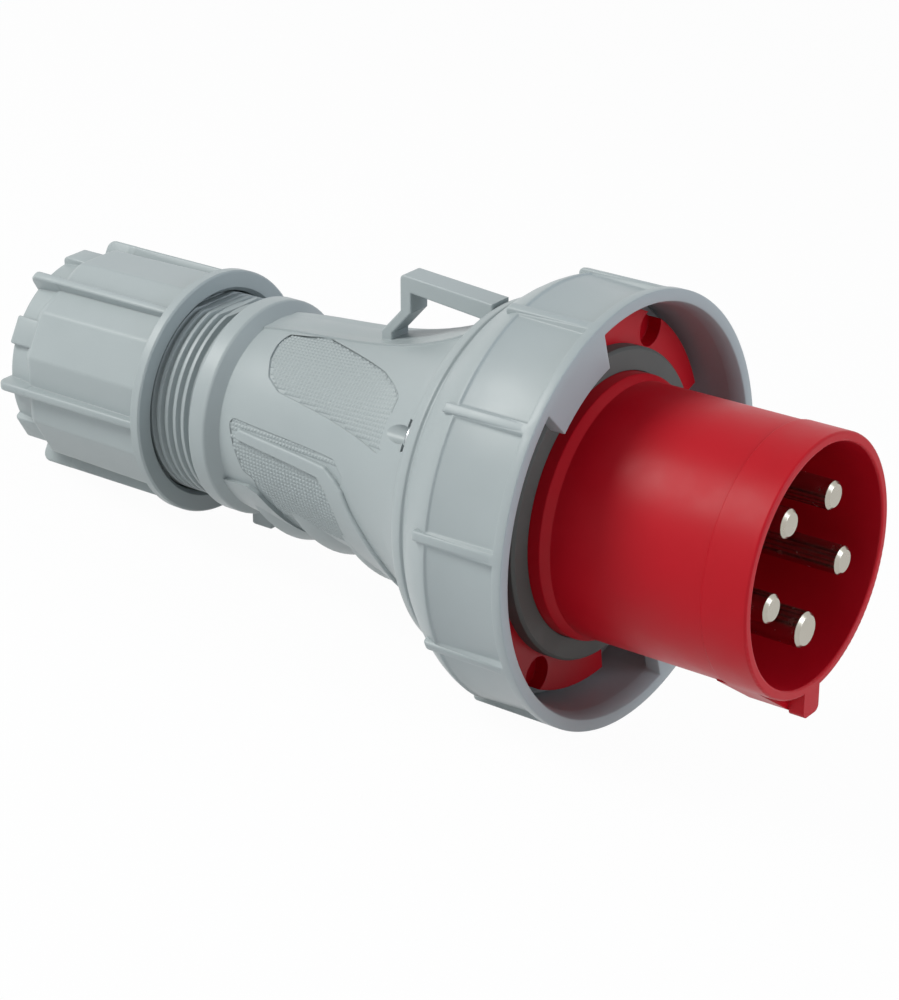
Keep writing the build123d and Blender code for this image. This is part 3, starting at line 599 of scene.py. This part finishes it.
# cap nut: a turned shell, a twelve-sided body over it, ribs that end in fins, and blocks between
capNut = {
    # stations behind the shroud's rim and radii, in mm, and of the body those of its corners
    "shell": ((202.5, 31.5), (202.5, 36.0), (203.0, 36.5), (205.6, 36.5), (206.1, 36.0),
              (206.1, 32.0), (249, 31.2), (252.4, 30.4), (259.4, 29.6), (260.4, 28.6),
              (260.4, 19.5), (256.4, 19.5), (256.4, 20.95), (240, 30.3), (204, 30.3)),
    "shellSteps": 144,
    "shellSmooth": math.radians(30),
    "sides": 6,
    "cornerAngle": 30.8,
    "cornerHalfAngle": 12.2,
    "body": ((205.8, 34.0), (249.8, 33.2), (252.6, 31.2)),
    "bodyWall": 1.4 * mm,
    "bodyEdge": 0.6 * mm,
    "bodyEdgeSteps": 3,
    "bodySharp": math.radians(15),
    "bodySmooth": math.radians(4),        # nearly none, so that its flats stay flat
    "rib": {"angle": 60.8, "stations": (205.0, 252.0), "radii": (31.0, 35.0), "width": 2.5,
            "corner": 0.7, "edge": 0.6},
    "fin": {"angle": 60.8, "stations": (249.0, 260.6), "radii": (26.0, 35.05), "width": 2.7,
            "corner": 2.8, "edge": 0.7},
    "block": {"angle": 30.8, "stations": (249.0, 260.0), "radii": (26.0, 31.6), "width": 8.6,
              "corner": 1.5, "edge": 0.6},
}


def makeNutBody(values):
    # twelve corners in pairs, drawn at each section and joined along the axis
    turns = [values["cornerAngle"] + 360 / values["sides"] * k + side * values["cornerHalfAngle"]
             for k in range(values["sides"]) for side in (-1, 1)]
    bpy.ops.object.select_all(action="DESELECT")
    bpy.ops.mesh.primitive_circle_add(vertices=len(turns), radius=1)
    body = bpy.context.object
    bpy.ops.object.mode_set(mode="EDIT")
    for index, (station, radius) in enumerate(values["body"]):
        if index:
            bpy.ops.mesh.extrude_region_move()
        mesh = bmesh.from_edit_mesh(body.data)
        loop = [vert for vert in mesh.verts if vert.select]
        if index:
            loop.sort(key=lambda vert: math.atan2(vert.co.z, vert.co.y))
        else:
            loop.sort(key=lambda vert: math.atan2(vert.co.y, vert.co.x))
        for vert, turn in zip(loop, sorted((turn + 180) % 360 - 180 for turn in turns)):
            angle = math.radians(turn)
            vert.co = (-station * mm, radius * mm * math.cos(angle), radius * mm * math.sin(angle))
        bmesh.update_edit_mesh(body.data)
    bpy.ops.mesh.select_all(action="SELECT")
    bpy.ops.mesh.normals_make_consistent(inside=False)
    bevelSharp(values["bodySharp"], values["bodyEdge"], values["bodyEdgeSteps"])
    bpy.ops.object.mode_set(mode="OBJECT")
    wall = body.modifiers.new("wall", "SOLIDIFY")
    wall.thickness = values["bodyWall"]
    wall.offset = -1
    bpy.ops.object.modifier_apply(modifier=wall.name)
    bpy.ops.object.shade_smooth_by_angle(angle=values["bodySmooth"])
    return body


def makeCapNut(values):
    shell = turnFrom("nutShell", values["shell"], 0, values["shellSteps"])
    bpy.ops.object.mode_set(mode="OBJECT")
    bpy.ops.object.shade_smooth_by_angle(angle=values["shellSmooth"])
    parts = [shell, makeNutBody(values)]
    for name in ("rib", "fin", "block"):
        parts += placeRound(makeBar(name, values[name]), values[name]["angle"], values["sides"])
    nut = joinAll(parts, "capNut")
    takePlace(nut, "cap_nut")
    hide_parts("gland_nut")
    return nut


nut = makeCapNut(capNut)
print("cap nut made:", len(nut.data.polygons), "faces")


# floor, world and lamps
stage = {
    "floorSize": 8.0,
    "floorColour": (0.80, 0.80, 0.80),
    "floorRough": 0.9,
    "floorWhite": 0.97,         # share of plain white in what the camera sees of the floor
    "worldColour": (0.90, 0.95, 1.0),
    "worldLevel": 0.34,
    "lampsAim": (-0.12, 0, 0),
}
lamps = [                        # name, place, size, watts, colour
    ("keyLamp", (-0.75, -0.55, 0.95), 0.6, 11.0, (1.0, 1.0, 0.97)),
    ("sideLamp", (1.05, 0.30, 0.45), 0.8, 7.5, (0.82, 0.90, 1.0)),
    ("lowLamp", (-0.10, -1.00, 0.10), 0.8, 2.5, (1.0, 1.0, 0.98)),
]


def whiteToView(tree, level):
    # plain white where the camera, a mirror or a glass looks, the lit surface for all other rays
    rays = addNode(tree, "ShaderNodeLightPath")
    either = addNode(tree, "ShaderNodeMath", operation="MAXIMUM")
    tree.links.new(rays.outputs["Is Camera Ray"], either.inputs[0])
    tree.links.new(rays.outputs["Is Glossy Ray"], either.inputs[1])
    anyOf = addNode(tree, "ShaderNodeMath", operation="MAXIMUM")
    tree.links.new(either.outputs[0], anyOf.inputs[0])
    tree.links.new(rays.outputs["Is Transmission Ray"], anyOf.inputs[1])
    share = addNode(tree, "ShaderNodeMath", operation="MULTIPLY")
    share.inputs[1].default_value = level
    tree.links.new(anyOf.outputs[0], share.inputs[0])
    return share.outputs[0]


def makeFloor(values, places):
    (ringX, ringZ), (nutX, nutZ) = places["ringTouch"], places["nutTouch"]
    slope = math.atan2(ringZ - nutZ, ringX - nutX)
    bpy.ops.object.select_all(action="DESELECT")
    bpy.ops.mesh.primitive_plane_add(size=values["floorSize"])
    floor = bpy.context.object
    floor.name = "floor"
    floor.matrix_world = Matrix.Translation((ringX, 0, ringZ)) @ Matrix.Rotation(-slope, 4, "Y")
    applyPlace()
    material, tree, shader = newMaterial("studioFloor", {"Base Color": values["floorColour"],
                                                        "Roughness": values["floorRough"]})
    glow = addNode(tree, "ShaderNodeEmission")
    mix = addNode(tree, "ShaderNodeMixShader")
    tree.links.new(whiteToView(tree, values["floorWhite"]), mix.inputs["Fac"])
    tree.links.new(shader.outputs[0], mix.inputs[1])
    tree.links.new(glow.outputs[0], mix.inputs[2])
    tree.links.new(mix.outputs[0], tree.nodes["Material Output"].inputs["Surface"])
    floor.data.materials.append(material)


def makeWorld(values):
    world = bpy.data.worlds.new("studio")
    bpy.context.scene.world = world
    world.use_nodes = True
    tree = world.node_tree
    soft = tree.nodes["Background"]
    soft.inputs["Color"].default_value = (*values["worldColour"], 1)
    soft.inputs["Strength"].default_value = values["worldLevel"]
    white = addNode(tree, "ShaderNodeBackground")
    white.inputs["Color"].default_value = (1, 1, 1, 1)
    mix = addNode(tree, "ShaderNodeMixShader")
    tree.links.new(whiteToView(tree, 1.0), mix.inputs["Fac"])
    tree.links.new(soft.outputs[0], mix.inputs[1])
    tree.links.new(white.outputs[0], mix.inputs[2])
    tree.links.new(mix.outputs[0], tree.nodes["World Output"].inputs["Surface"])


def makeLamp(name, place, size, watts, colour):
    data = bpy.data.lights.new(name, "AREA")
    data.shape = "DISK"
    data.size = size
    data.energy = watts
    data.color = colour
    lamp = bpy.data.objects.new(name, data)
    bpy.context.collection.objects.link(lamp)
    lamp.location = rollTurn @ Vector(place)
    away = lamp.location - Vector(stage["lampsAim"])
    lamp.rotation_euler = away.to_track_quat("Z", "Y").to_euler()


makeFloor(stage, lying)
makeWorld(stage)
for lamp in lamps:
    makeLamp(*lamp)
bpy.context.scene.view_settings.view_transform = "Standard"
print("stage made:", len(lamps), "lamps")
